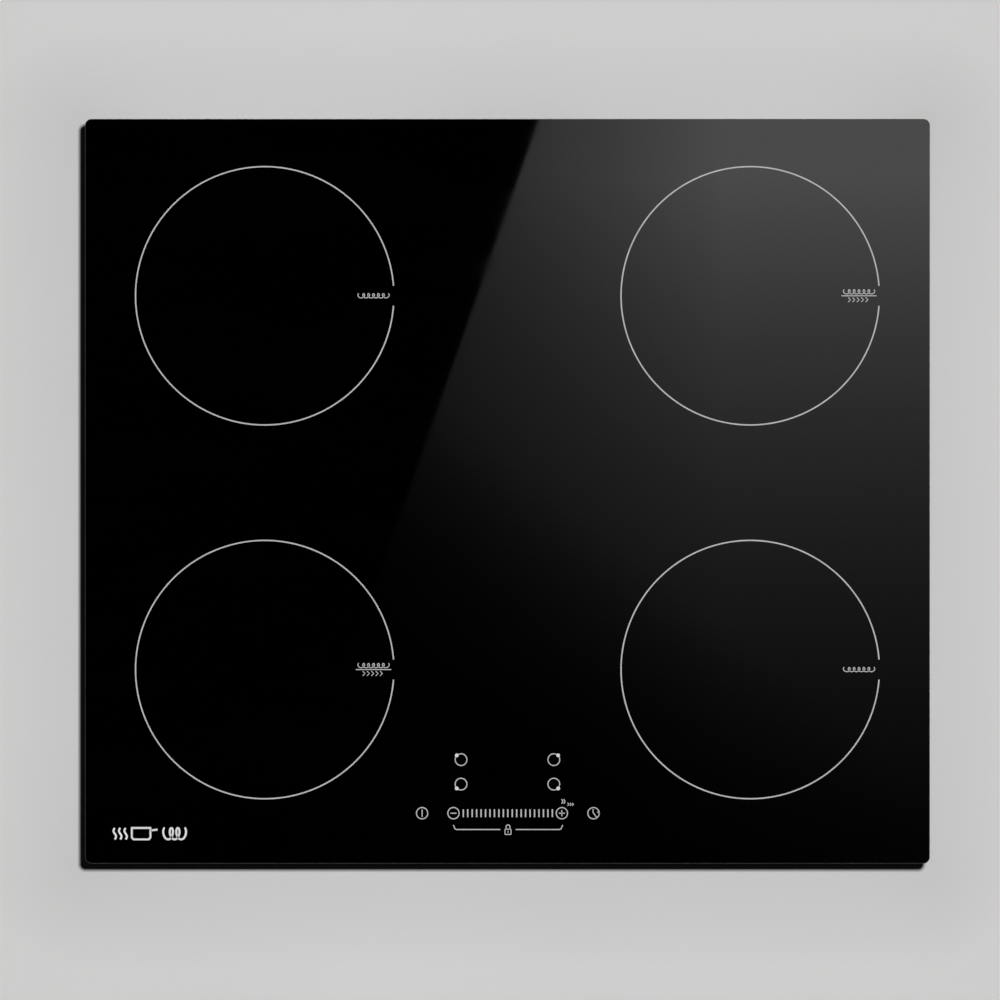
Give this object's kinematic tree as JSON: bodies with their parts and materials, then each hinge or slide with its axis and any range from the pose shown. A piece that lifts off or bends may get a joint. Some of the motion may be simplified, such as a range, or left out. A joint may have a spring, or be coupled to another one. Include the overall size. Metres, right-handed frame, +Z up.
{
  "type": "electric induction cooktop",
  "caption": "Built-in induction cooktop: black glass plate over a steel casing with coils, power boards, blowers, touch controls, mains terminal box and swing-out worktop clamps.",
  "frame": {"origin": "middle of the underside of the whole cooktop, level with its feet", "axes": "+X to the right of the person who cooks, +Y away from that person, +Z up out of the cooking surface"},
  "size_m": [0.59, 0.52, 0.062],
  "materials": {
    "ceramic_glass": "polished black glass ceramic, opaque",
    "silicone": "black silicone bead",
    "foam_gasket": "closed-cell foam, matte",
    "frame_steel": "galvanised sheet",
    "pan_steel": "galvanised sheet with a soft spangle",
    "plated_screw": "zinc plated, satin",
    "tray_aluminium": "rolled mill finish",
    "brass": "turned brass",
    "carrier_plastic": "glass-filled plastic",
    "litz_copper": "enamelled copper litz",
    "ferrite": "sintered ferrite, matte",
    "mica": "pressed mica",
    "sensor_ceramic": "white ceramic",
    "spring_steel": "drawn wire",
    "silicone_lead": "silicone sleeve",
    "circuit_board": "solder-masked laminate",
    "sink_aluminium": "extruded",
    "epoxy_black": "moulded epoxy",
    "capacitor_film": "moulded case",
    "choke_copper": "enamelled wire",
    "board_part": "mixed electronic parts",
    "nylon": "natural nylon",
    "blower_plastic": "moulded black plastic",
    "wheel_plastic": "moulded black plastic",
    "motor_core": "stator stack and windings",
    "filter_part": "mixed filter parts",
    "box_plastic": "moulded black plastic",
    "lid_plastic": "moulded black plastic",
    "terminal_plastic": "polyamide",
    "terminal_brass": "nickel-plated brass",
    "gland_rubber": "soft rubber",
    "clamp_plastic": "polyamide",
    "holder_plastic": "moulded plastic",
    "key_foam": "conductive foam",
    "display": "tinted display face",
    "ribbon": "flat ribbon",
    "wire_sleeve": "insulated wire",
    "clamp_steel": "pressed zinc-plated steel"
  },
  "bodies": {
    "root": {"glass_top": "ceramic_glass", "glass_adhesive": "silicone", "rim_gasket": "foam_gasket", "glass_frame": "frame_steel", "base_pan": "pan_steel", "frame_screws": "plated_screw", "coil_tray_left": "tray_aluminium", "coil_tray_right": "tray_aluminium", "tray_posts": "brass", "tray_screws": "plated_screw", "ferrite_bars": "ferrite", "mica_discs": "mica", "heat_sensors": "sensor_ceramic", "coil_springs": "spring_steel", "coil_leads": "silicone_lead", "power_board_left": "circuit_board", "power_board_right": "circuit_board", "heatsinks": "sink_aluminium", "power_devices": "epoxy_black", "film_capacitors": "capacitor_film", "board_chokes": "choke_copper", "board_parts": "board_part", "board_terminals": "brass", "board_standoffs": "nylon", "blower_housing_left": "blower_plastic", "blower_housing_right": "blower_plastic", "blower_motors": "motor_core", "filter_board": "circuit_board", "filter_parts": "filter_part", "terminal_housing": "box_plastic", "terminal_block": "terminal_plastic", "terminal_screws": "terminal_brass", "cable_gland": "gland_rubber", "cable_clamp": "clamp_plastic", "touch_board": "circuit_board", "touch_holder": "holder_plastic", "key_contacts": "key_foam", "display_modules": "display", "ribbon_cable": "ribbon", "mains_wires": "wire_sleeve", "clamp_nuts": "clamp_steel", "coil_carrier_rear_left": "carrier_plastic", "coil_winding_rear_left": "litz_copper", "coil_carrier_rear_right": "carrier_plastic", "coil_winding_rear_right": "litz_copper", "coil_carrier_front_left": "carrier_plastic", "coil_winding_front_left": "litz_copper", "coil_carrier_front_right": "carrier_plastic", "coil_winding_front_right": "litz_copper"},
    "blower_wheel_left": {"blower_rotor_left": "wheel_plastic"},
    "blower_wheel_right": {"blower_rotor_right": "wheel_plastic"},
    "terminal_lid": {"terminal_cover": "lid_plastic"},
    "clamp_post_rear_left": {"clamp_screw_rear_left": "plated_screw"},
    "clamp_hook_rear_left": {"clamp_arm_rear_left": "clamp_steel"},
    "clamp_post_rear_right": {"clamp_screw_rear_right": "plated_screw"},
    "clamp_hook_rear_right": {"clamp_arm_rear_right": "clamp_steel"},
    "clamp_post_front_left": {"clamp_screw_front_left": "plated_screw"},
    "clamp_hook_front_left": {"clamp_arm_front_left": "clamp_steel"},
    "clamp_post_front_right": {"clamp_screw_front_right": "plated_screw"},
    "clamp_hook_front_right": {"clamp_arm_front_right": "clamp_steel"}
  },
  "joints": [
    {"name": "blower_spin_left", "type": "hinge", "parent": "root", "child": "blower_wheel_left", "pos_m": [-0.1653, 0.165, 0.018], "axis": [0, 0, 1], "continuous": true},
    {"name": "blower_spin_right", "type": "hinge", "parent": "root", "child": "blower_wheel_right", "pos_m": [0.1653, 0.165, 0.018], "axis": [0, 0, 1], "continuous": true},
    {"name": "terminal_lid_hinge", "type": "hinge", "parent": "root", "child": "terminal_lid", "pos_m": [-0.0155, 0.239, 0.0109], "axis": [-1, 0, 0], "range_deg": [0, 90]},
    {"name": "clamp_lift_rear_left", "type": "slide", "parent": "root", "child": "clamp_post_rear_left", "axis": [0, 0, 1], "range_m": [-0.006, 0.01]},
    {"name": "clamp_swing_rear_left", "type": "hinge", "parent": "clamp_post_rear_left", "child": "clamp_hook_rear_left", "pos_m": [-0.2671, 0.1501, 0.014], "axis": [0, 0, 1], "range_deg": [0, 90]},
    {"name": "clamp_lift_rear_right", "type": "slide", "parent": "root", "child": "clamp_post_rear_right", "axis": [0, 0, 1], "range_m": [-0.006, 0.01]},
    {"name": "clamp_swing_rear_right", "type": "hinge", "parent": "clamp_post_rear_right", "child": "clamp_hook_rear_right", "pos_m": [0.2671, 0.1501, 0.014], "axis": [0, 0, -1], "range_deg": [0, 90]},
    {"name": "clamp_lift_front_left", "type": "slide", "parent": "root", "child": "clamp_post_front_left", "axis": [0, 0, 1], "range_m": [-0.006, 0.01]},
    {"name": "clamp_swing_front_left", "type": "hinge", "parent": "clamp_post_front_left", "child": "clamp_hook_front_left", "pos_m": [-0.2671, -0.1501, 0.014], "axis": [0, 0, -1], "range_deg": [0, 90]},
    {"name": "clamp_lift_front_right", "type": "slide", "parent": "root", "child": "clamp_post_front_right", "axis": [0, 0, 1], "range_m": [-0.006, 0.01]},
    {"name": "clamp_swing_front_right", "type": "hinge", "parent": "clamp_post_front_right", "child": "clamp_hook_front_right", "pos_m": [0.2671, -0.1501, 0.014], "axis": [0, 0, 1], "range_deg": [0, 90]}
  ]
}
